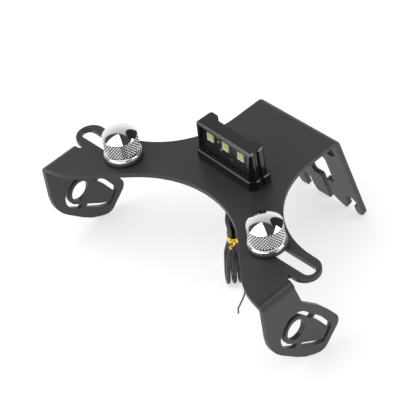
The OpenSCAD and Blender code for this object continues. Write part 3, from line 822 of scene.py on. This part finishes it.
# %% The small parts, one of them red
part_tan = grained("ceramic parts", (0.42, 0.34, 0.22), (0.62, 0.52, 0.36), 0.3, 0.45, size=2000,
                   depth=0.05)
wear(nodes["board_parts"], part_tan)
RED_REACH = 2.2 * MM
lowest = min((vertex.co for vertex in nodes["board_parts"].data.vertices), key=lambda co: co.z)
where = part_tan.node_tree.nodes.new("ShaderNodeTexCoord")
away = part_tan.node_tree.nodes.new("ShaderNodeVectorMath")
away.operation = "DISTANCE"
away.inputs[1].default_value = lowest
far = part_tan.node_tree.nodes.new("ShaderNodeMath")
far.operation = "GREATER_THAN"
far.inputs[1].default_value = RED_REACH
part_tan.node_tree.links.new(where.outputs["Object"], away.inputs[0])
part_tan.node_tree.links.new(away.outputs["Value"], far.inputs[0])
mixed_in(part_tan, (0.45, 0.05, 0.02), far.outputs["Value"])
print("the red part is near", [round(v * 1000, 1) for v in lowest])

# %% [markdown]
# The cable's sheath is a glossy black plastic, the bare end a thin dark wire, and the tie a
# crumpled gold foil.

# %% Sheath, wire and foil
sheath = grained("black cable sheath", (0.010, 0.010, 0.011), (0.020, 0.020, 0.021), 0.22, 0.32,
                 size=900, depth=0.05)
wire_black = grained("thin wire", (0.02, 0.02, 0.02), (0.035, 0.035, 0.035), 0.3, 0.42, size=900,
                     depth=0.05)
foil = grained("gold foil", (0.86, 0.58, 0.06), (0.98, 0.80, 0.22), 0.14, 0.3, size=900, depth=0.2,
               Metallic=1.0)
wear(light_cable, sheath)
wear(nodes["wire_end"], wire_black)
wear(foil_tie, foil)
print("materials:", len(bpy.data.materials))

# %% [markdown]
# ## The studio
#
# The floor is a plain pale plane that fills the view. A weak light of its own keeps it nearly
# white, also where the lamps' soft shadows fall.

# %% The floor
deselect()
bpy.ops.mesh.primitive_plane_add(size=12, location=(0, 0, 0))
floor = bpy.context.object
floor.name = "floor"
floor_white = bpy.data.materials.new("floor white")
floor_white.use_nodes = True
tree = floor_white.node_tree
shader = tree.nodes["Principled BSDF"]
shader.inputs["Base Color"].default_value = (0.4, 0.4, 0.4, 1)
shader.inputs["Roughness"].default_value = 0.9
shader.inputs["Specular IOR Level"].default_value = 0.1
shader.inputs["Emission Color"].default_value = (1, 1, 1, 1)
shader.inputs["Emission Strength"].default_value = 0.61
wear(floor, floor_white)
print("the floor is", round(floor.dimensions.x), "m wide")

# %% [markdown]
# One large soft lamp hangs in front on the left, and a second on the right at the back. Both face
# straight down, and each is turned about its own line of light.


# %% The lamps
def lamp(name, place, size, power, turn):
    """A soft rectangular lamp that faces straight down."""
    data = bpy.data.lights.new(name, "AREA")
    data.shape = "RECTANGLE"
    data.size, data.size_y = size
    data.energy = power
    thing = bpy.data.objects.new(name, data)
    bpy.context.scene.collection.objects.link(thing)
    down = Vector((0, 0, -1)).to_track_quat("-Z", "Y").to_matrix().to_4x4()
    thing.matrix_world = Matrix.Translation(place) @ down @ Matrix.Rotation(math.radians(turn), 4, "Z")


lamp("front left lamp", (-0.52, -0.97, 1.0), size=(1.0, 2.0), power=17, turn=-28.6)
lamp("right lamp", (0.84, 0.60, 0.95), size=(1.1, 0.7), power=5.3, turn=35)

# %% [markdown]
# Polished metal shows the room around it, so glossy rays see one. A pale band runs round the
# horizon and rises to a wall behind on the left, with a dark gap beside it, and the room above is
# dark. In a knob the wall is a grey-white band, the gap a black patch and the lamps bright panes.

# %% Brightness by direction
world = bpy.data.worlds.new("studio")
bpy.context.scene.world = world
world.use_nodes = True
room_tree = world.node_tree
direction = room_tree.nodes.new("ShaderNodeTexCoord")


def toward(way, low, high, start, end):
    """Brightness from start to end, as the cosine between a line of sight and a way rises."""
    dot = room_tree.nodes.new("ShaderNodeVectorMath")
    dot.operation = "DOT_PRODUCT"
    dot.inputs[1].default_value = way
    soft = room_tree.nodes.new("ShaderNodeMapRange")
    soft.interpolation_type = "SMOOTHSTEP"
    for label, value in (("From Min", low), ("From Max", high), ("To Min", start), ("To Max", end)):
        soft.inputs[label].default_value = value
    room_tree.links.new(direction.outputs["Generated"], dot.inputs[0])
    room_tree.links.new(dot.outputs["Value"], soft.inputs["Value"])
    return soft.outputs["Result"]


def combined(operation, a, b):
    """One number from two, such as their product or the larger of them."""
    node = room_tree.nodes.new("ShaderNodeMath")
    node.operation = operation
    room_tree.links.new(a, node.inputs[0])
    room_tree.links.new(b, node.inputs[1])
    return node.outputs["Value"]


wall = toward((-0.265, 0.829, -0.492), -0.18, -0.04, start=0.10, end=0.92)
band = toward((0, 0, 1), 0.34, 0.58, start=0.9, end=0.0)
gap = toward((0.069, 0.785, 0.616), 0.86, 0.90, start=1.0, end=0.04)
height = toward((0, 0, 1), 0.0, 0.95, start=1.1, end=0.6)
lit = combined("MULTIPLY", combined("MAXIMUM", wall, band), gap)
mirrored = combined("MULTIPLY", lit, height)
print("nodes of the room:", len(room_tree.nodes))

# %% [markdown]
# Rays from the camera and rays that pass through something see plain white. All other rays but the
# glossy ones see a weaker white, which is the soft light from every side.

# %% What each kind of ray sees
path = room_tree.nodes.new("ShaderNodeLightPath")
straight = combined("MAXIMUM", path.outputs["Is Camera Ray"], path.outputs["Is Transmission Ray"])
level = room_tree.nodes.new("ShaderNodeMapRange")
level.inputs["To Min"].default_value = 0.6
level.inputs["To Max"].default_value = 1.0
choice = room_tree.nodes.new("ShaderNodeMix")
choice.data_type = "FLOAT"
background = room_tree.nodes["Background"]
background.inputs["Color"].default_value = (1, 1, 1, 1)
room_tree.links.new(straight, level.inputs["Value"])
room_tree.links.new(path.outputs["Is Glossy Ray"], choice.inputs["Factor"])
room_tree.links.new(level.outputs["Result"], choice.inputs["A"])
room_tree.links.new(mirrored, choice.inputs["B"])
room_tree.links.new(choice.outputs["Result"], background.inputs["Strength"])
bpy.context.scene.view_settings.view_transform = "Standard"
print("links of the room:", len(room_tree.links))

# %% [markdown]

# %% The end
print("the scene is built")
